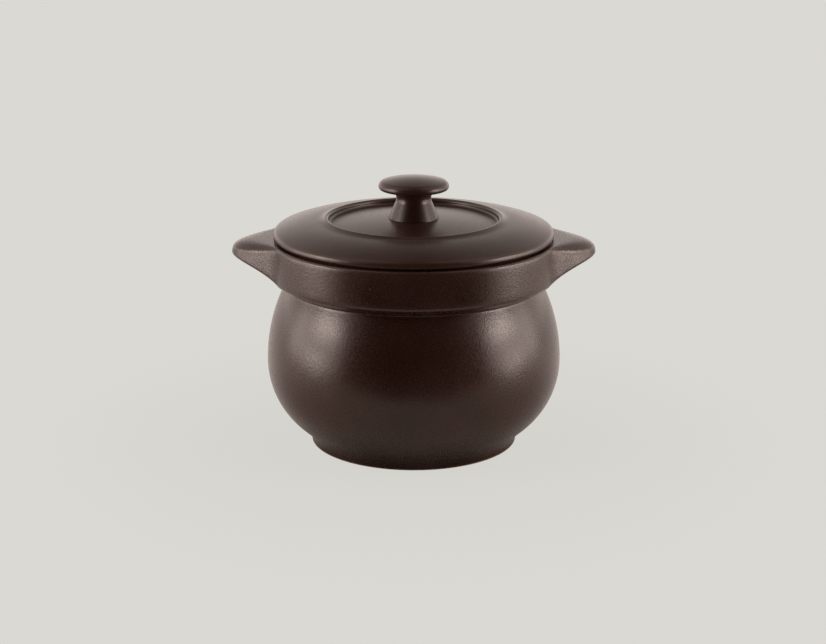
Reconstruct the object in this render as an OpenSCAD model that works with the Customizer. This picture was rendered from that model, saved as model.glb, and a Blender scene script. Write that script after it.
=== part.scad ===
// Lidded soup bowl in glazed ceramic: a round-bellied pot with a collar and two lug handles,
// and a loose lid with a sunken well and a mushroom knob.
// Millimetres, +Z up, origin on the table under the middle of the pot, lugs along X.

/* [Foot] */
// Outside diameter of the foot
foot_d = 82.4; // [80:0.2:88]
// Height of the upright part of the foot
foot_h = 2; // [1.2:0.1:4]
// Radius of the hollow curve from the foot into the belly
foot_fillet = 4; // [2.5:0.25:6]
// Width of the ring that stands on the table
foot_ring_w = 5; // [4:0.25:7]
// Depth of the hollow under the base
foot_recess = 2.4; // [1.5:0.1:3]
// Bevel on the two edges of the foot ring
foot_bevel = 0.7; // [0.3:0.1:1]

/* [Belly] */
// Widest outside diameter of the belly
belly_d = 117; // [114:0.5:122]
// Radius of the section curve below the widest ring
belly_low_r = 33.4; // [32:0.2:36]
// Radius of the section curve above the widest ring
belly_high_r = 66; // [58:1:76]
// Height from the widest ring up to the neck, where the collar starts
shoulder_h = 31; // [28:0.5:33]
// Wall thickness of the pot
wall = 5; // [4:0.25:6]
// Thickness of the floor of the pot
floor_t = 4.6; // [4:0.2:7]

/* [Collar] */
// Outside diameter of the collar
collar_d = 114.4; // [114:0.2:118]
// Height from the neck up to the rim
collar_h = 18.4; // [17:0.1:21]
// Rise of the collar's underside from the neck outwards, in degrees
under_angle = 29.5; // [24:0.5:34]
// Inward lean of the collar's wall, in degrees
collar_lean = 1; // [0:0.5:3]
// Width of the soft roll on the rim's outer edge
rim_edge = 1.2; // [0.8:0.1:1.5]
// Share of the collar's height that the rim's soft roll takes
rim_roll = 0.14; // [0.08:0.02:0.3]
// Rounding of the collar's lower edge
collar_low_edge = 1.6; // [0.6:0.1:2.4]
// Inside diameter of the mouth
mouth_d = 104; // [100:0.2:105]

/* [Lug handles] */
// Span across the two lug tips
lug_span = 143.8; // [138:0.2:148]
// Angle from the middle of a lug to where it has merged with the collar
lug_half_angle = 24; // [18:0.5:28]
// How far the top of a lug falls between the rim and the tip
lug_drop = 0.5; // [0.2:0.1:2]
// Thickness of a lug at its tip
lug_tip_t = 5.8; // [4:0.1:7]
// How early a lug swells out of the collar, 1 where it keeps in step with its reach
lug_swell = 0.7; // [0.5:0.05:1]
// How much the lower edge of a lug bows up on its way to the tip, 0 where it rises evenly
lug_bow = 0.3; // [0:0.05:0.7]
// Inward lean of a lug's face where it rises from the lower edge, in degrees
lug_lean = 11; // [0:0.5:14]
// Share of a lug's height that its soft roll takes at the tip
lug_roll = 0.75; // [0.4:0.05:0.9]
// Rounding of the lower edge at the lug tips
lug_low_edge = 1.3; // [0.8:0.1:2]

/* [Lid seat] */
// Diameter of the stepped gallery that the lid sits in
gallery_d = 109.6; // [108:0.2:111]
// Depth of the gallery below the rim
gallery_depth = 1.6; // [1:0.1:2.5]
// Bevel on the rim's inner edge
gallery_bevel = 0.4; // [0.2:0.1:0.6]
// Side clearance between the lid's seat and the gallery
seat_clearance = 1; // [0.8:0.1:1.4]
// Side clearance between the lid's flange and the mouth
flange_clearance = 0.9; // [0.5:0.1:1.5]

/* [Lid] */
// How far the lid's nose overhangs the gallery edge
nose_overhang = 0.5; // [0.4:0.1:1.5]
// Gap between the rim and the lid's nose
nose_gap = 0.3; // [0.2:0.1:1.5]
// Rounding on the underside of the nose
nose_low_edge = 1.2; // [0.8:0.1:1.3]
// Rounding on the top of the nose
nose_high_edge = 2.4; // [1.5:0.1:4]
// Slope of the lid's outer band, in degrees
lid_slope = 13; // [8:0.5:16]
// Thickness of the lid
lid_t = 4.4; // [3.5:0.1:5]
// Depth of the locating flange below the seat
flange_h = 6.5; // [4:0.5:9]
// Thickness of the locating flange
flange_t = 3.6; // [3:0.1:5]
// Diameter of the raised lip round the well, at its crest
lip_d = 69.2; // [60:0.2:76]
// Rounding of the lip's crest
lip_edge = 1.1; // [0.8:0.1:1.3]
// Depth of the well at its edge
well_depth = 2.4; // [2.2:0.1:3.5]
// Rounding where the well's wall meets its floor
well_fillet = 1; // [0.6:0.1:1.2]
// How far the well's floor swells up to the knob
well_swell = 1.9; // [0.8:0.1:2.5]

/* [Knob] */
// Diameter of the foot of the knob
knob_base_d = 19.8; // [17:0.2:24]
// Lean of the knob's stem, in degrees
stem_lean = 22.8; // [12:0.4:24]
// Height from the knob's foot to the underside of its cap
stem_h = 11.4; // [10:0.2:16]
// Radius of the hollow curve under the cap
cap_cove = 3.4; // [2.5:0.1:4]
// Diameter of the cap
cap_d = 27.7; // [26:0.1:32]
// Rounding of the cap's lower edge
cap_low_edge = 1.3; // [0.8:0.1:1.6]
// Rounding of the cap's upper edge
cap_high_edge = 2.7; // [2:0.1:3.5]
// Rise of the domed top of the cap above its edge
cap_crown = 0.9; // [0.4:0.1:1.5]

/* [Hidden] */

// Turning and arc fineness
turn_steps = 144;
arc_step = 9;

// Shared heights and radii are kept to a thousandth, so that stacked shapes meet exactly
function mil(x) = round(x * 1000) / 1000;

// Foot and belly: the foot's hollow curve touches both the foot wall and the lower belly curve
foot_r = foot_d / 2;
belly_r = belly_d / 2;
low_x = belly_r - belly_low_r;
high_x = belly_r - belly_high_r;
fillet_x = foot_r + foot_fillet;
fillet_reach = belly_low_r + foot_fillet;
fillet_drop = sqrt(fillet_reach * fillet_reach - (fillet_x - low_x) * (fillet_x - low_x));
belly_z = mil(foot_h + fillet_drop);
touch_x = mil(low_x + (fillet_x - low_x) * belly_low_r / fillet_reach);
touch_z = mil(belly_z - fillet_drop * belly_low_r / fillet_reach);
floor_z = foot_recess + floor_t;

// Neck and collar
neck_z = belly_z + shoulder_h;
neck_r = mil(high_x + sqrt(belly_high_r * belly_high_r - shoulder_h * shoulder_h));
inner_high_r = belly_high_r - wall;
throat_r = mil(high_x + sqrt(inner_high_r * inner_high_r - shoulder_h * shoulder_h));
rim_z = neck_z + collar_h;
collar_r = collar_d / 2;
mouth_r = mouth_d / 2;
gallery_r = gallery_d / 2;
seat_z = rim_z - gallery_depth;
under_wall = wall / cos(under_angle);
cut_past = 1;

// Collar sweep: the ring of the flat rim, the share of the top that rolls over, the most of a lug's height
// that its lower rounding takes, and the ring at the neck, which is rooted in the belly
lug_r = lug_span / 2;
cap_ring_r = (gallery_r + gallery_bevel + collar_r - rim_edge) / 2;
roll_share = rim_edge / (collar_r - cap_ring_r);
most_low_share = 0.25;
neck_set_in = 0.05;
neck_point = [neck_r - neck_set_in, neck_z + neck_set_in];
root_step = [0.4, 0.55];
quarter_steps = 40;
crowding = 0.62;
under_steps = 3;
low_edge_steps = 3;
roll_steps = 8;

// Lid
nose_r = gallery_r + nose_overhang;
seat_r = gallery_r - seat_clearance;
nose_z = rim_z + nose_gap;
nose_mid_z = nose_z + nose_low_edge;
nose_top = [nose_r - nose_high_edge + nose_high_edge * sin(lid_slope),
            nose_mid_z + nose_high_edge * cos(lid_slope)];
lip_r = lip_d / 2;
lip_touch = lip_r + lip_edge * sin(lid_slope);
lip_mid_z = nose_top[1] + (nose_top[0] - lip_touch) * tan(lid_slope) - lip_edge * cos(lid_slope);
well_r = lip_r - lip_edge;
well_z = mil(lip_mid_z + lip_edge - well_depth);
floor_r = well_r - well_fillet;
flange_r = mouth_r - flange_clearance;
flange_in = flange_r - flange_t;
flange_z = seat_z - flange_h;
flange_edge = flange_t / 4;
under_lid_z = well_z - lid_t;

// Knob, which stands on a flat land in the middle of the well
knob_r = knob_base_d / 2;
land_margin = 0.5;
land_r = knob_r + land_margin;
land_z = well_z + well_swell;
swell_drop = (floor_r * floor_r - land_r * land_r - well_swell * well_swell) / (2 * well_swell);
swell_r = sqrt(floor_r * floor_r + swell_drop * swell_drop);
cap_r = cap_d / 2;
cap_z = land_z + stem_h;
cove_z = cap_z - cap_cove;
cove_x = knob_r - (cove_z - land_z) * tan(stem_lean) + cap_cove / cos(stem_lean);
cap_mid_z = cap_z + cap_low_edge;
crown_x = cap_r - cap_high_edge;
crown_h = cap_high_edge + cap_crown;
crown_r = (crown_x * crown_x + crown_h * crown_h - cap_high_edge * cap_high_edge) / (2 * cap_crown);
crown_tilt = atan((crown_r - crown_h) / crown_x);

// Points along an arc round c, from angle a0 to angle a1
function arc(c, r, a0, a1) =
    let (n = max(3, ceil(abs(a1 - a0) / arc_step)))
    [for (i = [0:n]) c + r * [cos(a0 + (a1 - a0) * i / n), sin(a0 + (a1 - a0) * i / n)]];

// An outline without points that repeat the one before
same = 0.001;
function outline(points) =
    [for (i = [0:len(points) - 1]) if (i == 0 || norm(points[i] - points[max(i - 1, 0)]) > same) points[i]];

// Share of the lug's reach at an angle round the pot: 1 on the lug's middle, 0 on the plain collar
function lug_share(a) =
    let (off = abs((a + 90) % 180 - 90))
    off < lug_half_angle ? (1 + cos(180 * off / lug_half_angle)) / 2 : 0;

// Height of the plain collar's underside, and of the top of rim and lugs, at a distance from the axis
function under_z(r) = neck_point[1] + (r - neck_point[0]) * tan(under_angle);
function top_z(r) = rim_z - lug_drop * (r - cap_ring_r) / (lug_r - cap_ring_r);

// Height of the lower edge of collar and lugs, which rises from the collar to the lug tips
lug_rise = rim_z - lug_drop - lug_tip_t - under_z(collar_r);
function low_edge_z(swell) = under_z(collar_r) + lug_rise * swell * (1 + lug_bow - lug_bow * swell);

// Point at share t of a soft bend that starts towards a corner and ends away from it
function bend(begin, corner, end, t) =
    begin * (1 - t) * (1 - t) + corner * 2 * t * (1 - t) + end * t * t;

// Section through collar or lug at one angle, from its root outwards and up to the flat rim
function collar_section(a) =
    let (
        share = lug_share(a),
        swell = pow(share, lug_swell),
        r = collar_r + (lug_r - collar_r) * share,
        edge_z = low_edge_z(swell),
        height = top_z(r) - edge_z,
        low = min(collar_low_edge + (lug_low_edge - collar_low_edge) * swell, height * most_low_share),
        lean = collar_lean + (lug_lean - collar_lean) * swell,
        roll = rim_roll + (lug_roll - rim_roll) * swell,
        slope = atan2(edge_z - neck_point[1], r - neck_point[0]),
        low_mid = [r - low, edge_z + low * (1 - sin(slope)) / cos(slope)],
        low_end = low_mid + low * [sin(slope), -cos(slope)],
        low_turn = slope - 90,
        wall_foot = low_mid + low * [cos(lean), sin(lean)],
        corner_x = wall_foot[0] - (top_z(r) - wall_foot[1]) * tan(lean),
        corner = [corner_x, top_z(corner_x)],
        roll_x = corner_x - (corner_x - cap_ring_r) * roll_share,
        roll_from = corner + (wall_foot - corner) * roll,
        roll_to = [roll_x, top_z(roll_x)]
    )
    concat(
        [neck_point - root_step],
        [for (i = [0:under_steps - 1]) neck_point + (low_end - neck_point) * i / under_steps],
        [for (i = [0:low_edge_steps])
            let (turned = low_turn + (lean - low_turn) * i / low_edge_steps)
            low_mid + low * [cos(turned), sin(turned)]],
        [for (i = [0:roll_steps]) bend(roll_from, corner, roll_to, i / roll_steps)],
        [[cap_ring_r, rim_z]]
    );

// Angles round the pot, closer together at the lugs
function crowded(u) = 90 * (u - crowding / PI * sin(180 * u));

function collar_angles() = [
    for (q = [0:3])
        for (i = [0:quarter_steps - 1])
            let (u = i / quarter_steps)
            90 * q + (q % 2 == 0 ? crowded(u) : 90 - crowded(1 - u))
];

// Collar and lugs in one sweep round the axis, closed by flat faces at the root and the rim
module collar_with_lugs() {
    angles = collar_angles();
    turns = len(angles);
    rings = len(collar_section(0));
    points = [
        for (a = angles)
            for (p = collar_section(a))
                [p[0] * cos(a), p[0] * sin(a), p[1]]
    ];
    sides = [
        for (t = [0:turns - 1])
            let (here = t * rings, next = (t + 1) % turns * rings)
            for (k = [0:rings - 2])
                for (f = [[here + k, here + k + 1, next + k + 1], [here + k, next + k + 1, next + k]])
                    f
    ];
    root_face = [[for (t = [0:turns - 1]) t * rings]];
    rim_face = [[for (t = [turns - 1:-1:0]) t * rings + rings - 1]];
    polyhedron(points, concat(sides, root_face, rim_face));
}

// Half section of the foot and belly, filled to the axis
module belly_section() {
    difference() {
        polygon([[0, 0], [foot_r - foot_bevel, 0], [foot_r, foot_bevel], [foot_r, foot_h],
                 [touch_x, touch_z], [0, touch_z]]);
        translate([fillet_x, foot_h])
            circle(r = foot_fillet, $fn = turn_steps);
    }
    translate([0, touch_z])
        square([low_x, belly_z - touch_z]);
    intersection() {
        translate([low_x, belly_z])
            circle(r = belly_low_r, $fn = turn_steps);
        translate([low_x, touch_z])
            square([belly_low_r, belly_z - touch_z]);
    }
    intersection() {
        translate([high_x, belly_z])
            circle(r = belly_high_r, $fn = turn_steps);
        translate([0, belly_z])
            square([belly_r, shoulder_h]);
    }
}

// Half section of the hollow: belly, throat, mouth and the stepped gallery for the lid
module hollow_section() {
    translate([0, floor_z])
        square([low_x, belly_z - floor_z]);
    intersection() {
        translate([low_x, belly_z])
            circle(r = belly_low_r - wall, $fn = turn_steps);
        translate([low_x, floor_z])
            square([belly_low_r, belly_z - floor_z]);
    }
    intersection() {
        translate([high_x, belly_z])
            circle(r = inner_high_r, $fn = turn_steps);
        translate([0, belly_z])
            square([belly_r, shoulder_h]);
    }
    polygon([[0, neck_z], [throat_r, neck_z],
             [throat_r, under_z(throat_r) + under_wall],
             [mouth_r, under_z(mouth_r) + under_wall],
             [mouth_r, seat_z], [gallery_r, seat_z],
             [gallery_r, rim_z - gallery_bevel], [gallery_r + gallery_bevel, rim_z],
             [gallery_r + gallery_bevel, rim_z + cut_past], [0, rim_z + cut_past]]);
}

// Half section of the hollow under the base, inside the foot ring
module recess_section() {
    ring_in = foot_r - foot_ring_w;
    polygon([[0, -cut_past], [ring_in + foot_bevel, -cut_past], [ring_in + foot_bevel, 0],
             [ring_in, foot_bevel], [ring_in, foot_recess - foot_bevel],
             [ring_in - foot_bevel, foot_recess], [0, foot_recess]]);
}

module pot() {
    color("#3a2420")
        difference() {
            union() {
                rotate_extrude($fn = turn_steps)
                    belly_section();
                collar_with_lugs();
            }
            rotate_extrude($fn = turn_steps)
                hollow_section();
            rotate_extrude($fn = turn_steps)
                recess_section();
        }
}

// Loose lid, from the land under the knob outwards over the lip and the nose to the flange
module lid() {
    color("#46302b")
        rotate_extrude($fn = turn_steps)
            polygon(outline(concat(
                [[0, land_z]],
                arc([0, well_z - swell_drop], swell_r, acos(land_r / swell_r), acos(floor_r / swell_r)),
                arc([floor_r, well_z + well_fillet], well_fillet, -90, 0),
                arc([lip_r, lip_mid_z], lip_edge, 180, 90 - lid_slope),
                arc([nose_r - nose_high_edge, nose_mid_z], nose_high_edge, 90 - lid_slope, 0),
                arc([nose_r - nose_low_edge, nose_mid_z], nose_low_edge, 0, -90),
                [[seat_r, nose_z], [seat_r, seat_z], [flange_r, seat_z]],
                arc([flange_r - flange_edge, flange_z + flange_edge], flange_edge, 0, -90),
                arc([flange_in + flange_edge, flange_z + flange_edge], flange_edge, -90, -180),
                [[flange_in, under_lid_z], [floor_r, under_lid_z], [0, land_z - lid_t]]
            )));
}

// Mushroom knob, set on the land in the middle of the well
module knob() {
    color("#46302b")
        rotate_extrude($fn = turn_steps)
            polygon(outline(concat(
                [[0, land_z], [knob_r, land_z]],
                arc([cove_x, cove_z], cap_cove, 180 + stem_lean, 90),
                arc([cap_r - cap_low_edge, cap_mid_z], cap_low_edge, -90, 0),
                arc([crown_x, cap_mid_z], cap_high_edge, 0, crown_tilt),
                arc([0, cap_mid_z + crown_h - crown_r], crown_r, crown_tilt, 90)
            )));
}

pot();
lid();
knob();
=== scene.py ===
import math

import bmesh
import bpy
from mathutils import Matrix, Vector


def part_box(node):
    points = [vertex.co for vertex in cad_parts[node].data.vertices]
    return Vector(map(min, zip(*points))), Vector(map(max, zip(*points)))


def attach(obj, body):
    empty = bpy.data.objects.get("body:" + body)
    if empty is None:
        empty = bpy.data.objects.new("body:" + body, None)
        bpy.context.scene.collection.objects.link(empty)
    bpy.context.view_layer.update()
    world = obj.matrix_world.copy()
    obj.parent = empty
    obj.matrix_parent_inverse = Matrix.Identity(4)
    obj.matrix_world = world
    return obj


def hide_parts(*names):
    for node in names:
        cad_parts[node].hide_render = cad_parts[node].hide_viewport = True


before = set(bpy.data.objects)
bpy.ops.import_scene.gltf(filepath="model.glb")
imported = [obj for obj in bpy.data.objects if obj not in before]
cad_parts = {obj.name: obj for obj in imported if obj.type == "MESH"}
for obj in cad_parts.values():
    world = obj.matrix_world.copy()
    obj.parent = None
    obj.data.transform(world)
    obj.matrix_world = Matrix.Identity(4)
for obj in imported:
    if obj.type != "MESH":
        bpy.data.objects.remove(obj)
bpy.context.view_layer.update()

# Units: section lines are drawn in millimetres and the finished meshes are in metres
MM = 0.001


def box_mm(node):
    """Lowest and highest corner of a CAD node, in millimetres."""
    return [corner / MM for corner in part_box(node)]


_, POT_HIGH = box_mm("pot")
LID_LOW, LID_HIGH = box_mm("lid")
KNOB_LOW, KNOB_HIGH = box_mm("knob")

# Foot
FOOT_R = 41.2
FOOT_H = 0.6
FLARE_ANGLE = 50
FOOT_RING_W = 5
FOOT_RECESS = 2.4
FOOT_SOFT = 0.5
WIPED_H = 0.3

# Belly, from the widest ring down and up
BELLY_R = POT_HIGH.y
BELLY_LOW_R = 33.4
BELLY_HIGH_R = 66
SHOULDER_H = 31
WALL = 5
FLOOR_T = 4.6

# Collar and lug handles
COLLAR_R = 57.2
COLLAR_H = 18.4
UNDER_ANGLE = 29.5
COLLAR_LEAN = 1
RIM_EDGE = 1.2
RIM_ROLL = 0.14
COLLAR_LOW_EDGE = 1.6
MOUTH_R = 52
LUG_R = POT_HIGH.x
LUG_HALF_ANGLE = 24
PLAIN_ANGLE = 90
LUG_DROP = 0.5
LUG_TIP_T = 5.8
LUG_SWELL = 0.7
LUG_BOW = 0.3
LUG_LEAN = 11
LUG_ROLL = 0.75
LUG_LOW_EDGE = 1.3
NECK_SOFT = 0.35
MOUTH_SOFT = 0.8

# Lid seat
GALLERY_R = 54.8
GALLERY_DEPTH = 1.6
GALLERY_SOFT = 0.4
SEAT_CLEARANCE = 1

# Lid
NOSE_R = LID_HIGH.x
NOSE_GAP = 0.3
NOSE_LOW_EDGE = 1.2
NOSE_HIGH_EDGE = 2.4
LID_SLOPE_IN = 5
LID_SLOPE_OUT = 20
LID_T = 4.4
FLANGE_R = 51.1
FLANGE_T = 3.6
FLANGE_SOFT = 0.9
LIP_R = 34.6
LIP_EDGE = 1.1
LIP_SLOPE = 35
LIP_RUN = 1
BAND_RUN = 2.4
WELL_DEPTH = 2.4
WELL_FILLET = 1
SEAT_SOFT = 0.3

# Knob
KNOB_R = 9.9
LAND_MARGIN = 0.5
STEM_LEAN = 22.8
STEM_H = 11.4
CAP_COVE = 3.4
CAP_R = KNOB_HIGH.x
CAP_LOW_EDGE = 1.3
CAP_HIGH_EDGE = 2.2
CAP_CROWN = 1.4

# Heights and centres that follow from these sizes
LOW_X = BELLY_R - BELLY_LOW_R
HIGH_X = BELLY_R - BELLY_HIGH_R
RIM_Z = POT_HIGH.z
NECK_Z = RIM_Z - COLLAR_H
BELLY_Z = NECK_Z - SHOULDER_H
FLOOR_Z = FOOT_RECESS + FLOOR_T
NECK_R = HIGH_X + math.sqrt(BELLY_HIGH_R ** 2 - SHOULDER_H ** 2)
SEAT_Z = RIM_Z - GALLERY_DEPTH
RIM_FLAT_R = (GALLERY_R + GALLERY_SOFT + COLLAR_R - RIM_EDGE) / 2
ROLL_SHARE = RIM_EDGE / (COLLAR_R - RIM_FLAT_R)
MOST_LOW_SHARE = 0.25
LAND_Z = KNOB_LOW.z

# Fineness of the turned skins
TURN_STEPS = 288
CELL = 1.3
ARC_CELLS = 8
HOLD = 0.25
SOFT_CELLS = 4
UNDER_CELLS = 8
FACE_CELLS = 6
EDGE_CELLS = 6
ROLL_CELLS = 14
TOP_CELLS = 3
BAND_CELLS = 14
FLARE_CELLS = 14
WELD = 0.0005

# Names of the layers that a section line carries into its mesh
RING_LAYER = "collar_ring"
THIN_LAYER = "thin_glaze"

# How thin the glaze has drawn over sharp edges and over rounder ones
SHARP_THIN = 1.0
ROUND_THIN = 0.6


def new_section():
    """An empty mesh for one section line, with the layers that its points carry."""
    bm = bmesh.new()
    bm.verts.layers.int.new(RING_LAYER)
    bm.verts.layers.float.new(THIN_LAYER)
    return bm


def start_line(bm, x, z):
    """First point of a section line, at a distance x from the axis."""
    return bm.verts.new((x, 0, z))


def step_to(bm, tip, place, thin=0.0, ring=0):
    """Extends the section line to one more point."""
    tip = bmesh.ops.extrude_vert_indiv(bm, verts=[tip])["verts"][0]
    tip.co = place
    tip[bm.verts.layers.float[THIN_LAYER]] = thin
    tip[bm.verts.layers.int[RING_LAYER]] = ring
    return tip


def line_to(bm, tip, x, z):
    """Runs the section line straight to (x, z). A point close to each end keeps the shading flat between."""
    begin = tip.co.copy()
    end = Vector((x, 0, z))
    hold = min(HOLD / (end - begin).length, 1 / 3)
    for share in (hold, 1 - hold, 1):
        tip = step_to(bm, tip, begin.lerp(end, share))
    return tip


def arc_round(bm, tip, x, z, degrees, thin=0.0):
    """Runs the section line along an arc round (x, z), anticlockwise where degrees is positive."""
    reach = (tip.co - Vector((x, 0, z))).length
    cells = max(ARC_CELLS, math.ceil(reach * math.radians(abs(degrees)) / CELL))
    tip[bm.verts.layers.float[THIN_LAYER]] = thin
    made = bmesh.ops.spin(bm, geom=[tip], cent=(x, 0, z), axis=(0, -1, 0),
                          angle=math.radians(degrees), steps=cells)
    return next(v for v in made["geom_last"] if isinstance(v, bmesh.types.BMVert))


def soften(bm, corners, reach):
    """Rounds corners of the section line, as glaze does."""
    bmesh.ops.bevel(bm, geom=corners, offset=reach, offset_type="OFFSET", segments=SOFT_CELLS,
                    profile=0.5, affect="VERTICES", material=-1)


def turn(bm):
    """Turns the section line once round the axis into a closed skin whose faces point outwards."""
    bmesh.ops.spin(bm, geom=bm.verts[:] + bm.edges[:], cent=(0, 0, 0), axis=(0, 0, 1),
                   angle=2 * math.pi, steps=TURN_STEPS, use_merge=True)
    bmesh.ops.remove_doubles(bm, verts=bm.verts, dist=WELD)
    bmesh.ops.recalc_face_normals(bm, faces=bm.faces)


def fire(bm, name, finishes, body, node):
    """Makes the finished piece from its mesh: metres, smooth faces, its finishes, and its place on a body."""
    bmesh.ops.scale(bm, vec=(MM, MM, MM), verts=bm.verts)
    for face in bm.faces:
        face.smooth = True
    mesh = bpy.data.meshes.new(name)
    bm.to_mesh(mesh)
    bm.free()
    piece = bpy.data.objects.new(name, mesh)
    bpy.context.scene.collection.objects.link(piece)
    for material in finishes:
        mesh.materials.append(material)
    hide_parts(node)
    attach(piece, body)
    return piece


def lug_share(angle):
    """Share of the lug's reach at an angle round the pot: 1 on a lug's middle, 0 on the plain collar."""
    off = abs((angle + 90) % 180 - 90)
    return (1 + math.cos(math.pi * off / LUG_HALF_ANGLE)) / 2 if off < LUG_HALF_ANGLE else 0


def under_z(r):
    """Height of the underside of the plain collar at a distance from the axis."""
    return NECK_Z + (r - NECK_R) * math.tan(math.radians(UNDER_ANGLE))


def low_edge_z(swell):
    """Height of the lower edge of collar and lugs. It rises along the lug, quickly at first."""
    rise = RIM_Z - LUG_DROP - LUG_TIP_T - under_z(COLLAR_R)
    return under_z(COLLAR_R) + rise * swell * (1 + LUG_BOW - LUG_BOW * swell)


def top_z(r):
    """Height of the top of rim and lugs at a distance from the axis."""
    return RIM_Z - LUG_DROP * max(0, r - RIM_FLAT_R) / (LUG_R - RIM_FLAT_R)


def bend(begin, corner, end, t):
    """Point at share t of a soft bend that starts towards a corner and ends away from it."""
    return begin.lerp(corner, t).lerp(corner.lerp(end, t), t)


def bend_to(bm, tip, begin, corner, end, cells):
    """Runs the section line along a soft bend from its tip."""
    for i in range(1, cells + 1):
        x, z = bend(begin, corner, end, i / cells)
        tip = step_to(bm, tip, (x, 0, z))
    return tip


def collar_line(angle):
    """Points (x, z, thin) of one section: out from the neck, up round both edges and in to the rim."""
    share = lug_share(angle)
    swell = share ** LUG_SWELL
    r = COLLAR_R + (LUG_R - COLLAR_R) * share
    edge_z = low_edge_z(swell)
    height = top_z(r) - edge_z
    low = min(COLLAR_LOW_EDGE + (LUG_LOW_EDGE - COLLAR_LOW_EDGE) * swell, height * MOST_LOW_SHARE)
    lean = math.radians(COLLAR_LEAN + (LUG_LEAN - COLLAR_LEAN) * swell)
    roll = RIM_ROLL + (LUG_ROLL - RIM_ROLL) * swell
    slope = math.atan2(edge_z - NECK_Z, r - NECK_R)
    low_mid = Vector((r - low, edge_z + low * (1 - math.sin(slope)) / math.cos(slope)))
    low_turn = slope - math.pi / 2
    under_from = Vector((NECK_R, NECK_Z))
    under_to = low_mid + low * Vector((math.cos(low_turn), math.sin(low_turn)))
    wall_foot = low_mid + low * Vector((math.cos(lean), math.sin(lean)))
    corner_x = wall_foot.x - (top_z(r) - wall_foot.y) * math.tan(lean)
    corner = Vector((corner_x, top_z(corner_x)))
    roll_x = corner_x - (corner_x - RIM_FLAT_R) * ROLL_SHARE
    roll_from = corner.lerp(wall_foot, roll)
    roll_to = Vector((roll_x, top_z(roll_x)))
    line = [(*under_from.lerp(under_to, i / UNDER_CELLS), 0) for i in range(1, UNDER_CELLS)]
    for i in range(EDGE_CELLS + 1):
        turned = low_turn + (lean - low_turn) * i / EDGE_CELLS
        line.append((*(low_mid + low * Vector((math.cos(turned), math.sin(turned)))), SHARP_THIN))
    line += [(*wall_foot.lerp(roll_from, i / FACE_CELLS), 0) for i in range(1, FACE_CELLS)]
    line += [(*bend(roll_from, corner, roll_to, i / ROLL_CELLS), SHARP_THIN) for i in range(ROLL_CELLS + 1)]
    for i in range(1, TOP_CELLS + 1):
        x = roll_x + (RIM_FLAT_R - roll_x) * i / TOP_CELLS
        line.append((x, top_z(x), 0))
    return line


def draw_out_lugs(bm):
    """Draws the turned collar out into both lugs: each point moves to the section at its own angle."""
    ring_layer = bm.verts.layers.int[RING_LAYER]
    lines = {}
    for vert in bm.verts:
        ring = vert[ring_layer]
        if ring:
            angle = round(math.degrees(math.atan2(vert.co.y, vert.co.x)), 3)
            if angle not in lines:
                lines[angle] = collar_line(angle)
            x, z, _ = lines[angle][ring - 1]
            vert.co = (x * math.cos(math.radians(angle)), x * math.sin(math.radians(angle)), z)


def draw_pot_outside(bm):
    """Section of the pot from the axis under the base, over the foot and the belly, to the rim."""
    ring_in = FOOT_R - FOOT_RING_W
    flare = math.radians(FLARE_ANGLE)
    flare_from = Vector((FOOT_R, FOOT_H))
    flare_to = Vector((LOW_X, BELLY_Z)) + BELLY_LOW_R * Vector((math.cos(flare), -math.sin(flare)))
    flare_mid = Vector((FOOT_R, flare_to.y - (flare_to.x - FOOT_R) / math.tan(flare)))
    tip = start_line(bm, 0, FOOT_RECESS)
    corners = []
    for x, z in ((ring_in, FOOT_RECESS), (ring_in, 0), (FOOT_R, 0)):
        tip = line_to(bm, tip, x, z)
        corners.append(tip)
    tip = line_to(bm, tip, FOOT_R, FOOT_H)
    tip = bend_to(bm, tip, flare_from, flare_mid, flare_to, FLARE_CELLS)
    tip = arc_round(bm, tip, LOW_X, BELLY_Z, FLARE_ANGLE)
    neck = arc_round(bm, tip, HIGH_X, BELLY_Z, math.degrees(math.asin(SHOULDER_H / BELLY_HIGH_R)))
    tip = neck
    for ring, (x, z, thin) in enumerate(collar_line(PLAIN_ANGLE), start=1):
        tip = step_to(bm, tip, (x, 0, z), thin, ring)
    soften(bm, corners, FOOT_SOFT)
    soften(bm, [neck], NECK_SOFT)
    return tip


def draw_pot_inside(bm, tip):
    """Section of the pot from the rim over the gallery, down the throat and the belly, to the floor."""
    inner_low_r = BELLY_LOW_R - WALL
    inner_high_r = BELLY_HIGH_R - WALL
    throat_r = HIGH_X + math.sqrt(inner_high_r ** 2 - SHOULDER_H ** 2)
    under_wall = WALL / math.cos(math.radians(UNDER_ANGLE))
    corners = []
    for x, z in ((GALLERY_R, RIM_Z), (GALLERY_R, SEAT_Z), (MOUTH_R, SEAT_Z)):
        tip = line_to(bm, tip, x, z)
        corners.append(tip)
    mouth = []
    for x, z in ((MOUTH_R, under_z(MOUTH_R) + under_wall), (throat_r, under_z(throat_r) + under_wall),
                 (throat_r, NECK_Z)):
        tip = line_to(bm, tip, x, z)
        mouth.append(tip)
    tip = arc_round(bm, tip, HIGH_X, BELLY_Z, -math.degrees(math.asin(SHOULDER_H / inner_high_r)))
    tip = arc_round(bm, tip, LOW_X, BELLY_Z, -math.degrees(math.asin((BELLY_Z - FLOOR_Z) / inner_low_r)))
    mouth.append(tip)
    line_to(bm, tip, 0, FLOOR_Z)
    soften(bm, corners, GALLERY_SOFT)
    soften(bm, mouth, MOUTH_SOFT)


def wipe_foot(bm):
    """Leaves the ring that stands on the table bare of glaze."""
    for face in bm.faces:
        if face.calc_center_median().z < WIPED_H:
            face.material_index = 1


def make_pot(finishes):
    """Turned pot with its collar drawn out into two lug handles."""
    bm = new_section()
    draw_pot_inside(bm, draw_pot_outside(bm))
    turn(bm)
    draw_out_lugs(bm)
    wipe_foot(bm)
    return fire(bm, "stoneware_pot", finishes, "bowl", "pot")


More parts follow.
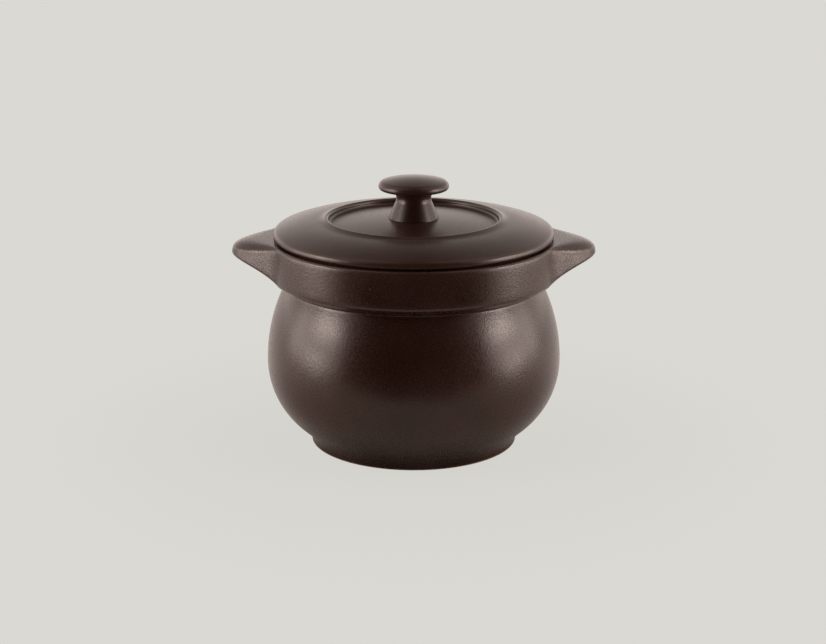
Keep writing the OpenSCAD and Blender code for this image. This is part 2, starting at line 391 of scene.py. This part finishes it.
def draw_lid_band(bm, tip, nose_mid):
    """Section of the lid from its lip, down a short hollow shoulder and along a rounded band, to the nose."""
    out = math.radians(LID_SLOPE_OUT)
    fall_in = math.tan(math.radians(LID_SLOPE_IN))
    fall_out = math.tan(out)
    lip_end = Vector((tip.co.x, tip.co.z))
    hollow = lip_end + LIP_RUN * Vector((1, -math.tan(math.radians(LIP_SLOPE))))
    band_from = hollow + BAND_RUN * Vector((1, -fall_in))
    band_to = nose_mid + NOSE_HIGH_EDGE * Vector((math.sin(out), math.cos(out)))
    crest_x = (band_to.y + band_to.x * fall_out - band_from.y - band_from.x * fall_in) / (fall_out - fall_in)
    crest = Vector((crest_x, band_from.y - (crest_x - band_from.x) * fall_in))
    tip = bend_to(bm, tip, lip_end, hollow, band_from, BAND_CELLS)
    return bend_to(bm, tip, band_from, crest, band_to, BAND_CELLS)


def draw_lid_top(bm):
    """Section of the lid from the land under the knob, over the well, the lip and the slope, to the nose."""
    nose_mid_z = RIM_Z + NOSE_GAP + NOSE_LOW_EDGE
    lip_mid_z = LID_HIGH.z - LIP_EDGE
    well_r = LIP_R - LIP_EDGE
    well_z = LID_HIGH.z - WELL_DEPTH
    floor_r = well_r - WELL_FILLET
    land_r = KNOB_R + LAND_MARGIN
    swell = LAND_Z - well_z
    swell_drop = (floor_r ** 2 - land_r ** 2 - swell ** 2) / (2 * swell)
    swell_turn = math.degrees(math.atan2(swell_drop, floor_r) - math.atan2(swell_drop + swell, land_r))
    tip = start_line(bm, 0, LAND_Z)
    tip = line_to(bm, tip, land_r, LAND_Z)
    tip = arc_round(bm, tip, 0, well_z - swell_drop, swell_turn)
    tip = arc_round(bm, tip, floor_r, well_z + WELL_FILLET, 90)
    tip = line_to(bm, tip, well_r, lip_mid_z)
    tip = arc_round(bm, tip, LIP_R, lip_mid_z, -90 - LIP_SLOPE, SHARP_THIN)
    tip = draw_lid_band(bm, tip, Vector((NOSE_R - NOSE_HIGH_EDGE, nose_mid_z)))
    tip = arc_round(bm, tip, NOSE_R - NOSE_HIGH_EDGE, nose_mid_z, LID_SLOPE_OUT - 90, ROUND_THIN)
    return arc_round(bm, tip, NOSE_R - NOSE_LOW_EDGE, nose_mid_z, -90, ROUND_THIN)


def draw_lid_underside(bm, tip):
    """Section of the lid from the nose over the seat and the locating flange to the axis."""
    seat_r = GALLERY_R - SEAT_CLEARANCE
    flange_in = FLANGE_R - FLANGE_T
    floor_r = LIP_R - LIP_EDGE - WELL_FILLET
    ceiling_z = LID_HIGH.z - WELL_DEPTH - LID_T
    seat = []
    for x, z in ((seat_r, RIM_Z + NOSE_GAP), (seat_r, SEAT_Z), (FLANGE_R, SEAT_Z)):
        tip = line_to(bm, tip, x, z)
        seat.append(tip)
    flange = []
    for x, z in ((FLANGE_R, LID_LOW.z), (flange_in, LID_LOW.z), (flange_in, ceiling_z), (floor_r, ceiling_z)):
        tip = line_to(bm, tip, x, z)
        flange.append(tip)
    line_to(bm, tip, 0, LAND_Z - LID_T)
    soften(bm, seat, SEAT_SOFT)
    soften(bm, flange, FLANGE_SOFT)


def make_lid(finishes):
    """Turned lid with its sunken well."""
    bm = new_section()
    draw_lid_underside(bm, draw_lid_top(bm))
    turn(bm)
    return fire(bm, "stoneware_lid", finishes, "cover", "lid")


def make_knob(finishes):
    """Turned mushroom knob: leaning stem, hollow curve under the cap, rounded edge and domed top."""
    lean = math.radians(STEM_LEAN)
    cap_z = LAND_Z + STEM_H
    cove_z = cap_z - CAP_COVE
    cove_x = KNOB_R - (cove_z - LAND_Z) * math.tan(lean) + CAP_COVE / math.cos(lean)
    cap_mid_z = cap_z + CAP_LOW_EDGE
    crown_x = CAP_R - CAP_HIGH_EDGE
    crown_h = CAP_HIGH_EDGE + CAP_CROWN
    crown_r = (crown_x ** 2 + crown_h ** 2 - CAP_HIGH_EDGE ** 2) / (2 * CAP_CROWN)
    crown_tilt = math.degrees(math.atan((crown_r - crown_h) / crown_x))
    bm = new_section()
    tip = start_line(bm, 0, LAND_Z)
    tip = line_to(bm, tip, KNOB_R, LAND_Z)
    tip = line_to(bm, tip, cove_x - CAP_COVE * math.cos(lean), cove_z - CAP_COVE * math.sin(lean))
    tip = arc_round(bm, tip, cove_x, cove_z, -90 - STEM_LEAN)
    tip = line_to(bm, tip, CAP_R - CAP_LOW_EDGE, cap_z)
    tip = arc_round(bm, tip, CAP_R - CAP_LOW_EDGE, cap_mid_z, 90, ROUND_THIN)
    tip = arc_round(bm, tip, crown_x, cap_mid_z, crown_tilt, ROUND_THIN)
    arc_round(bm, tip, 0, cap_mid_z + crown_h - crown_r, 90 - crown_tilt)
    turn(bm)
    return fire(bm, "lid_knob", finishes, "cover", "knob")


def linear(hex_colour):
    """Linear RGBA of an sRGB hex colour."""
    channels = [int(hex_colour[i:i + 2], 16) / 255 for i in (1, 3, 5)]
    return [c / 12.92 if c <= 0.04045 else ((c + 0.055) / 1.055) ** 2.4 for c in channels] + [1]


def per_metre(size_mm):
    """Texture scale at which a pattern's features are about this size."""
    return 1 / (size_mm * MM)


def add(tree, kind, inputs=None, **settings):
    """Adds a node with its settings. Each input gets a value, or a link from another node's output."""
    made = tree.nodes.new(kind)
    for name, value in settings.items():
        setattr(made, name, value)
    for name, value in (inputs or {}).items():
        if isinstance(value, bpy.types.NodeSocket):
            tree.links.new(value, made.inputs[name])
        else:
            made.inputs[name].default_value = value
    return made


def new_material(name):
    """An empty node material."""
    material = bpy.data.materials.new(name)
    material.use_nodes = True
    material.node_tree.nodes.clear()
    return material, material.node_tree


# Sockets of a colour Mix node, which have the same names for numbers and for colours
MIX_SHARE, MIX_FROM, MIX_TO, MIX_OUT = 0, 6, 7, 2

# Brown glaze: where it lies thick, has flowed together or has drawn thin over an edge, and its shine's tint
GLAZE_THICK = "#2a170e"
GLAZE_FLOWN = "#35201a"
GLAZE_THIN = "#3d281f"
GLAZE_SHEEN = "#fff9f6"
GLAZE_IOR = 1.5
THIN_SHARE = 0.3
CLOUD_MM = 22
NOISE_SPAN = (0.35, 0.65)

# Sprayed glaze of the pot: droplets that haven't quite flowed out
PEEL_MM = 2.4
PEEL_HEIGHT_MM = 0.016
GRAIN_MM = 0.6
GRAIN_HEIGHT_MM = 0.06
PINHOLE_SPACING_MM = 7
PINHOLE_MM = 0.3
PINHOLE_DEPTH_MM = 0.05
PINHOLE_CORE = 0.5
SPRAYED_ROUGHNESS = (0.2, 0.32)

# Dipped glaze of the lid and knob: smoother
DIP_WAVE_MM = 9
DIP_WAVE_HEIGHT_MM = 0.02
DIP_GRAIN_MM = 0.7
DIP_GRAIN_HEIGHT_MM = 0.004
DIPPED_ROUGHNESS = (0.27, 0.33)
DIP_NOISE_SPAN = (0.3, 0.7)

# Bare clay under the foot
CLAY_PALE = "#8a6f5c"
CLAY_DARK = "#6d5444"
CLAY_GRIT_MM = 0.9
CLAY_GRIT_HEIGHT_MM = 0.05
CLAY_ROUGHNESS = 0.85


def glaze_colour(tree, place):
    """Brown of the glaze: soft clouds of two browns, and paler where it has drawn thin over an edge."""
    clouds = add(tree, "ShaderNodeTexNoise", {"Vector": place, "Scale": per_metre(CLOUD_MM), "Detail": 3})
    share = add(tree, "ShaderNodeMapRange", {
        "Value": clouds.outputs["Fac"], "From Min": NOISE_SPAN[0], "From Max": NOISE_SPAN[1]})
    thick = add(tree, "ShaderNodeMix", {MIX_SHARE: share.outputs["Result"], MIX_FROM: linear(GLAZE_THICK),
                                        MIX_TO: linear(GLAZE_FLOWN)}, data_type="RGBA")
    edge = add(tree, "ShaderNodeAttribute", attribute_name=THIN_LAYER)
    thin = add(tree, "ShaderNodeMath", {0: edge.outputs["Fac"], 1: THIN_SHARE}, operation="MULTIPLY")
    return add(tree, "ShaderNodeMix", {MIX_SHARE: thin.outputs["Value"], MIX_FROM: thick.outputs[MIX_OUT],
                                       MIX_TO: linear(GLAZE_THIN)}, data_type="RGBA").outputs[MIX_OUT]


def sprayed_glaze():
    """Satin glaze sprayed on stoneware: a soft sheen broken into grain by droplets, and dark pinholes."""
    material, tree = new_material("brown_satin_glaze_sprayed_on_stoneware")
    place = add(tree, "ShaderNodeTexCoord").outputs["Object"]
    peel = add(tree, "ShaderNodeTexNoise", {"Vector": place, "Scale": per_metre(PEEL_MM), "Detail": 2})
    grain = add(tree, "ShaderNodeTexNoise", {"Vector": place, "Scale": per_metre(GRAIN_MM), "Detail": 2})
    cells = add(tree, "ShaderNodeTexVoronoi", {"Vector": place, "Scale": per_metre(PINHOLE_SPACING_MM)})
    open_pit = add(tree, "ShaderNodeMapRange", {
        "Value": cells.outputs["Distance"], "From Min": PINHOLE_CORE * PINHOLE_MM / PINHOLE_SPACING_MM,
        "From Max": PINHOLE_MM / PINHOLE_SPACING_MM}, interpolation_type="SMOOTHSTEP")
    colour = add(tree, "ShaderNodeMix", {MIX_SHARE: open_pit.outputs["Result"], MIX_FROM: linear(GLAZE_THICK),
                                         MIX_TO: glaze_colour(tree, place)}, data_type="RGBA")
    rough = add(tree, "ShaderNodeMapRange", {
        "Value": grain.outputs["Fac"], "From Min": NOISE_SPAN[0], "From Max": NOISE_SPAN[1],
        "To Min": SPRAYED_ROUGHNESS[0], "To Max": SPRAYED_ROUGHNESS[1]})
    waves = add(tree, "ShaderNodeBump", {"Height": peel.outputs["Fac"], "Distance": PEEL_HEIGHT_MM * MM})
    drops = add(tree, "ShaderNodeBump", {"Height": grain.outputs["Fac"], "Distance": GRAIN_HEIGHT_MM * MM,
                                         "Normal": waves.outputs["Normal"]})
    pits = add(tree, "ShaderNodeBump", {
        "Height": open_pit.outputs["Result"], "Distance": PINHOLE_DEPTH_MM * MM,
        "Normal": drops.outputs["Normal"]})
    shader = add(tree, "ShaderNodeBsdfPrincipled", {
        "Base Color": colour.outputs[MIX_OUT], "Roughness": rough.outputs["Result"], "IOR": GLAZE_IOR,
        "Specular Tint": linear(GLAZE_SHEEN), "Normal": pits.outputs["Normal"]})
    add(tree, "ShaderNodeOutputMaterial", {"Surface": shader.outputs["BSDF"]})
    return material


def dipped_glaze():
    """Satin glaze dipped on stoneware: flowed out smooth, so that it mirrors softly, with slow waves."""
    material, tree = new_material("brown_satin_glaze_dipped_on_stoneware")
    place = add(tree, "ShaderNodeTexCoord").outputs["Object"]
    wave = add(tree, "ShaderNodeTexNoise", {"Vector": place, "Scale": per_metre(DIP_WAVE_MM), "Detail": 1})
    grain = add(tree, "ShaderNodeTexNoise", {"Vector": place, "Scale": per_metre(DIP_GRAIN_MM), "Detail": 2})
    rough = add(tree, "ShaderNodeMapRange", {
        "Value": grain.outputs["Fac"], "From Min": DIP_NOISE_SPAN[0], "From Max": DIP_NOISE_SPAN[1],
        "To Min": DIPPED_ROUGHNESS[0], "To Max": DIPPED_ROUGHNESS[1]})
    waves = add(tree, "ShaderNodeBump", {"Height": wave.outputs["Fac"], "Distance": DIP_WAVE_HEIGHT_MM * MM})
    drops = add(tree, "ShaderNodeBump", {"Height": grain.outputs["Fac"], "Distance": DIP_GRAIN_HEIGHT_MM * MM,
                                         "Normal": waves.outputs["Normal"]})
    shader = add(tree, "ShaderNodeBsdfPrincipled", {
        "Base Color": glaze_colour(tree, place), "Roughness": rough.outputs["Result"], "IOR": GLAZE_IOR,
        "Specular Tint": linear(GLAZE_SHEEN), "Normal": drops.outputs["Normal"]})
    add(tree, "ShaderNodeOutputMaterial", {"Surface": shader.outputs["BSDF"]})
    return material


def bare_clay():
    """Stoneware wiped clean of glaze and ground flat: dull, dry and gritty."""
    material, tree = new_material("bare_stoneware_wiped_and_ground")
    place = add(tree, "ShaderNodeTexCoord").outputs["Object"]
    grit = add(tree, "ShaderNodeTexNoise", {"Vector": place, "Scale": per_metre(CLAY_GRIT_MM), "Detail": 4})
    colour = add(tree, "ShaderNodeMix", {MIX_SHARE: grit.outputs["Fac"], MIX_FROM: linear(CLAY_DARK),
                                         MIX_TO: linear(CLAY_PALE)}, data_type="RGBA")
    rub = add(tree, "ShaderNodeBump", {"Height": grit.outputs["Fac"], "Distance": CLAY_GRIT_HEIGHT_MM * MM})
    shader = add(tree, "ShaderNodeBsdfPrincipled", {
        "Base Color": colour.outputs[MIX_OUT], "Roughness": CLAY_ROUGHNESS, "Normal": rub.outputs["Normal"]})
    add(tree, "ShaderNodeOutputMaterial", {"Surface": shader.outputs["BSDF"]})
    return material


# Camera: the photograph's frame, and the view fitted to the object in it
FRAME_W = 826
FOCUS_PX = 1900
SENSOR_MM = 36
VIEW_DISTANCE = 0.76
VIEW_ELEVATION = 16.1
AIM_X = -0.0003
AIM_Z = 0.0478

# Studio paper, in metres: a pale sheet under the bowl, as pale as what the camera sees behind it
PAPER = "#dad9d4"
FLOOR_HALF = 3

# What the camera sees of it: distance from the bowl's axis, and share of its flat colour
SHOWN_NEAR = (0.06, 0.9)
SHOWN_FAR = (0.2, 1.0)

# What the glaze mirrors of it: place along Y, and share of a flat pale colour
MIRRORED = "#fbece3"
MIRRORED_FRONT = (-0.05, 0.0)
MIRRORED_BACK = (0.1, 0.85)

# Painted shade in what the glaze mirrors of it: black out in front of the bowl, and half as dark close round
# the foot, a painted contact shadow
UNLIT = "#000000"
DARK_FRONT = (-0.18, -0.16)
DARK_NEAR = (0.043, 0.055)
NEAR_SHADE = 0.5

# Surroundings: levels of light, and the parts of a direction along Y and Z between which they change
LIGHT = "#fff1ea"
BACK_LEVEL = 1.75
SIDE_LEVEL = 1.9
LOW_HEIGHT = 0.42
HIGH_SHARE = 0.22
DIM_FROM = 0.5
DIM_TO = 0.75
FRONT_DARK = -0.7
FRONT_LIT = -0.3
BACK_LIT = 0.7

# Lamps at the right, in metres and watts; those at the left mirror them
SOFT_BOX_PLACE = Vector((0.45, -0.06, 0.11))
SOFT_BOX_W = 0.42
SOFT_BOX_H = 0.22
SOFT_BOX_POWER = 0.73
CORE_PLACE = Vector((0.44, -0.13, 0.205))
CORE_W = 0.18
CORE_H = 0.12
CORE_POWER = 0.52
LOW_CORE_PLACE = Vector((0.44, -0.1, 0.03))
LOW_CORE_W = 0.14
LOW_CORE_H = 0.05
LOW_CORE_POWER = 0.11


def place_camera():
    """Camera in front of the bowl, looking slightly down."""
    elevation = math.radians(VIEW_ELEVATION)
    back = Vector((0, -math.cos(elevation), math.sin(elevation)))
    data = bpy.data.cameras.new("view")
    data.sensor_width = SENSOR_MM
    data.lens = SENSOR_MM * FOCUS_PX / FRAME_W
    camera = bpy.data.objects.new("view", data)
    camera.location = Vector((AIM_X, 0, AIM_Z)) + back * VIEW_DISTANCE
    camera.rotation_euler = (-back).to_track_quat("-Z", "Y").to_euler()
    bpy.context.scene.collection.objects.link(camera)
    bpy.context.scene.camera = camera


def flat_share(tree, path, depth, reach):
    """Share of the paper seen as a flat colour: most by the camera, more in the glaze towards the back."""
    direct = add(tree, "ShaderNodeMath", {0: path.outputs["Is Camera Ray"],
                                          1: path.outputs["Is Transmission Ray"]}, operation="MAXIMUM")
    share = add(tree, "ShaderNodeMapRange", {
        "Value": reach, "From Min": SHOWN_NEAR[0], "To Min": SHOWN_NEAR[1],
        "From Max": SHOWN_FAR[0], "To Max": SHOWN_FAR[1]}, interpolation_type="SMOOTHSTEP")
    shown = add(tree, "ShaderNodeMath", {0: direct.outputs["Value"], 1: share.outputs["Result"]},
                operation="MULTIPLY")
    mirrored = add(tree, "ShaderNodeMapRange", {
        "Value": depth, "From Min": MIRRORED_FRONT[0], "To Min": MIRRORED_FRONT[1],
        "From Max": MIRRORED_BACK[0], "To Max": MIRRORED_BACK[1]}, interpolation_type="SMOOTHSTEP")
    return add(tree, "ShaderNodeMath", {0: path.outputs["Is Glossy Ray"], 1: mirrored.outputs["Result"],
                                        2: shown.outputs["Value"]}, operation="MULTIPLY_ADD").outputs["Value"]


def paper_tone_with_painted_shade(tree, path, depth, reach):
    """Colour of the lit paper, with painted shade that only the glaze mirrors: dark in front, and dimmed
    close to the foot as a painted contact shadow.
    """
    front = add(tree, "ShaderNodeMapRange", {
        "Value": depth, "From Min": DARK_FRONT[0], "From Max": DARK_FRONT[1], "To Min": 1.0, "To Max": 0.0})
    near = add(tree, "ShaderNodeMapRange", {
        "Value": reach, "From Min": DARK_NEAR[0], "From Max": DARK_NEAR[1],
        "To Min": NEAR_SHADE, "To Max": 0.0})
    shaded = add(tree, "ShaderNodeMath", {0: front.outputs["Result"], 1: near.outputs["Result"]},
                 operation="MAXIMUM")
    dark = add(tree, "ShaderNodeMath", {0: path.outputs["Is Glossy Ray"], 1: shaded.outputs["Value"]},
               operation="MULTIPLY")
    # Painted shade: glossy rays see the paper black in front of the bowl and half dark round the foot, a
    # painted contact shadow
    return add(tree, "ShaderNodeMix", {MIX_SHARE: dark.outputs["Value"], MIX_FROM: linear(PAPER),
                                       MIX_TO: linear(UNLIT)}, data_type="RGBA").outputs[MIX_OUT]


def sweep_paper():
    """Matt studio paper, seen mostly as a flat colour, with the bowl's shadow kept faint and painted shade in
    what the glaze mirrors of it.
    """
    material, tree = new_material("matt_studio_paper")
    place = add(tree, "ShaderNodeTexCoord").outputs["Object"]
    depth = add(tree, "ShaderNodeSeparateXYZ", {"Vector": place}).outputs["Y"]
    reach = add(tree, "ShaderNodeVectorMath", {0: place}, operation="LENGTH").outputs["Value"]
    path = add(tree, "ShaderNodeLightPath")
    paper = add(tree, "ShaderNodeBsdfDiffuse", {"Color": paper_tone_with_painted_shade(tree, path, depth, reach)})
    colour = add(tree, "ShaderNodeMix", {MIX_SHARE: path.outputs["Is Glossy Ray"], MIX_FROM: linear(PAPER),
                                         MIX_TO: linear(MIRRORED)}, data_type="RGBA")
    flat = add(tree, "ShaderNodeEmission", {"Color": colour.outputs[MIX_OUT]})
    mixed = add(tree, "ShaderNodeMixShader", {0: flat_share(tree, path, depth, reach),
                                              1: paper.outputs["BSDF"], 2: flat.outputs["Emission"]})
    add(tree, "ShaderNodeOutputMaterial", {"Surface": mixed.outputs["Shader"]})
    return material


def lay_floor():
    """Plain floor that the bowl stands on."""
    bm = bmesh.new()
    bmesh.ops.create_grid(bm, x_segments=1, y_segments=1, size=FLOOR_HALF)
    mesh = bpy.data.meshes.new("floor")
    bm.to_mesh(mesh)
    bm.free()
    mesh.materials.append(sweep_paper())
    floor = bpy.data.objects.new("floor", mesh)
    bpy.context.scene.collection.objects.link(floor)


def surrounding_level(tree):
    """Level of the light from each direction: pale behind and low down, dark high up and in front."""
    place = add(tree, "ShaderNodeTexCoord").outputs["Generated"]
    axes = add(tree, "ShaderNodeSeparateXYZ", {"Vector": place})
    x, y, z = (axes.outputs[axis] for axis in "XYZ")
    low = add(tree, "ShaderNodeMapRange", {
        "Value": z, "From Max": LOW_HEIGHT, "To Min": 1.0, "To Max": HIGH_SHARE}).outputs["Result"]
    dim = add(tree, "ShaderNodeMapRange", {
        "Value": z, "From Min": DIM_FROM, "From Max": DIM_TO, "To Min": 1.0, "To Max": 0.0}).outputs["Result"]
    depth = add(tree, "ShaderNodeMapRange", {
        "Value": y, "From Min": FRONT_DARK, "From Max": BACK_LIT, "To Max": BACK_LEVEL},
        interpolation_type="SMOOTHSTEP").outputs["Result"]
    faded = add(tree, "ShaderNodeMath", {0: low, 1: dim}, operation="MULTIPLY").outputs["Value"]
    back = add(tree, "ShaderNodeMath", {0: faded, 1: depth}, operation="MULTIPLY").outputs["Value"]
    aside = add(tree, "ShaderNodeMath", {0: x}, operation="ABSOLUTE").outputs["Value"]
    above = add(tree, "ShaderNodeMapRange", {"Value": z, "To Max": SIDE_LEVEL}).outputs["Result"]
    both = add(tree, "ShaderNodeMath", {0: aside, 1: above, 2: back},
               operation="MULTIPLY_ADD").outputs["Value"]
    behind = add(tree, "ShaderNodeMapRange", {
        "Value": y, "From Min": FRONT_DARK, "From Max": FRONT_LIT},
        interpolation_type="SMOOTHSTEP").outputs["Result"]
    return add(tree, "ShaderNodeMath", {0: both, 1: behind}, operation="MULTIPLY").outputs["Value"]


def hang_surroundings():
    """Surroundings that light the bowl. The camera sees them in the flat colour of the paper."""
    world = bpy.data.worlds.new("studio")
    bpy.context.scene.world = world
    world.use_nodes = True
    tree = world.node_tree
    tree.nodes.clear()
    lit = add(tree, "ShaderNodeBackground", {"Color": linear(LIGHT), "Strength": surrounding_level(tree)})
    flat = add(tree, "ShaderNodeBackground", {"Color": linear(PAPER)})
    path = add(tree, "ShaderNodeLightPath")
    mixed = add(tree, "ShaderNodeMixShader", {0: path.outputs["Is Camera Ray"], 1: lit.outputs["Background"],
                                              2: flat.outputs["Background"]})
    add(tree, "ShaderNodeOutputWorld", {"Surface": mixed.outputs["Shader"]})


def hang_lamp(name, place, width, height, power):
    """A flat lamp that faces the bowl's axis. The camera doesn't see it."""
    data = bpy.data.lights.new(name, "AREA")
    data.shape = "RECTANGLE"
    data.size = width
    data.size_y = height
    data.energy = power
    data.color = linear(LIGHT)[:3]
    lamp = bpy.data.objects.new(name, data)
    lamp.location = place
    lamp.rotation_euler = (Vector((0, 0, place.z)) - place).to_track_quat("-Z", "Y").to_euler()
    lamp.visible_camera = False
    bpy.context.scene.collection.objects.link(lamp)


def hang_lamps():
    """A soft box at each side of the bowl, brighter in two places: high towards the camera, and low."""
    for side, word in ((-1, "left"), (1, "right")):
        flip = Vector((side, 1, 1))
        hang_lamp(word + "_soft_box", SOFT_BOX_PLACE * flip, SOFT_BOX_W, SOFT_BOX_H, SOFT_BOX_POWER)
        hang_lamp(word + "_core", CORE_PLACE * flip, CORE_W, CORE_H, CORE_POWER)
        hang_lamp(word + "_low_core", LOW_CORE_PLACE * flip, LOW_CORE_W, LOW_CORE_H, LOW_CORE_POWER)


lid_glaze = dipped_glaze()
pot = make_pot([sprayed_glaze(), bare_clay()])
lid = make_lid([lid_glaze])
knob = make_knob([lid_glaze])
lay_floor()
hang_surroundings()
hang_lamps()
place_camera()
bpy.context.scene.view_settings.view_transform = "Standard"
